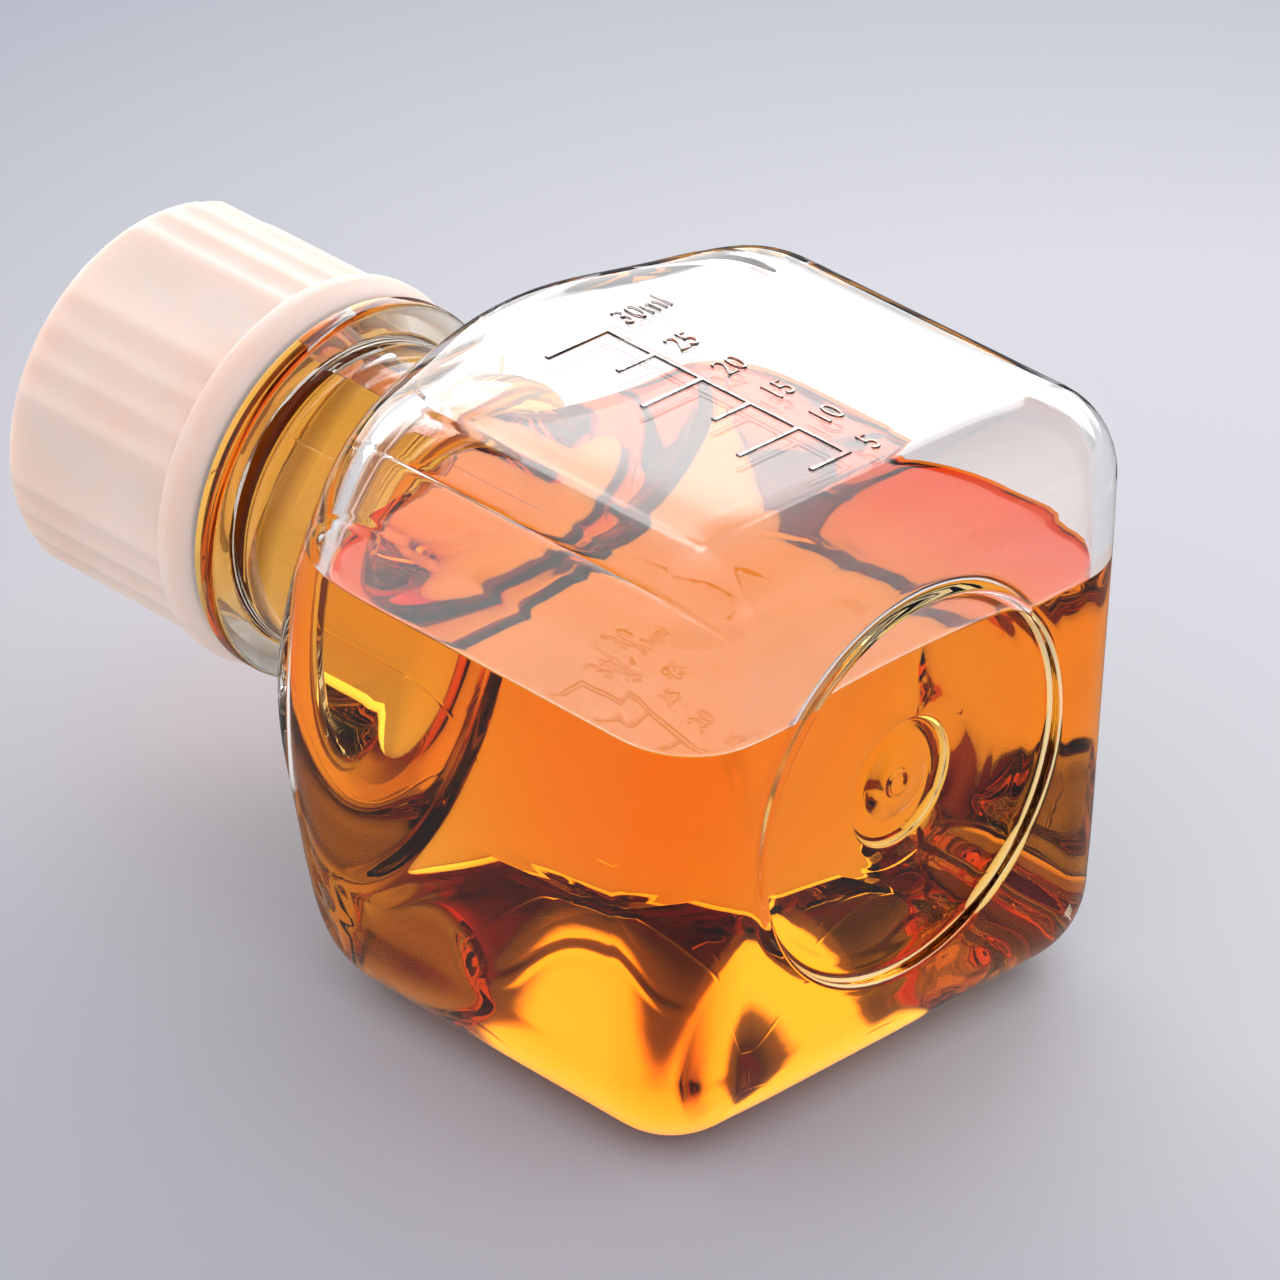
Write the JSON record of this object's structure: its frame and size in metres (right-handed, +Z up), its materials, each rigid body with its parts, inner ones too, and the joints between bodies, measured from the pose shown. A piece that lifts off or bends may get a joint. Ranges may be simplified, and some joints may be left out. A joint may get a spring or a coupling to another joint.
{
  "type": "serum bottle",
  "caption": "Square clear plastic bottle with a round neck, support ring and translucent ribbed screw cap, lying on its side and part filled with orange liquid.",
  "frame": {"origin": "bottom centre of the bounding box, on the surface that the bottle lies on", "axes": "+X along the bottle from the cap to the base, +Z up through the graduated side, +Y towards the side that the digits are on"},
  "size_m": [0.0632, 0.038, 0.0382],
  "materials": {
    "clear_plastic": "clear, glossy, blow-moulded PETG",
    "orange_liquid": "clear orange liquid",
    "soft_seal": "smooth, matt, natural white",
    "translucent_plastic": "matt, translucent natural polyethylene"
  },
  "bodies": {
    "bottle": {"bottle": "clear_plastic", "serum": "orange_liquid"},
    "seal": {"seal_disc": "soft_seal"},
    "cap": {"cap": "translucent_plastic"}
  },
  "joints": [
    {"name": "cap_lift", "type": "slide", "parent": "bottle", "child": "seal", "axis": [-1, 0, 0], "range_m": [0, 0.0048]},
    {"name": "cap_turn", "type": "hinge", "parent": "seal", "child": "cap", "pos_m": [-0.0235, 0, 0.019], "axis": [-1, 0, 0], "range_deg": [0, 540]}
  ],
  "couplings": [
    {"joint": "cap_lift", "follows": "cap_turn", "m_per_rad": 0.00050532}
  ]
}
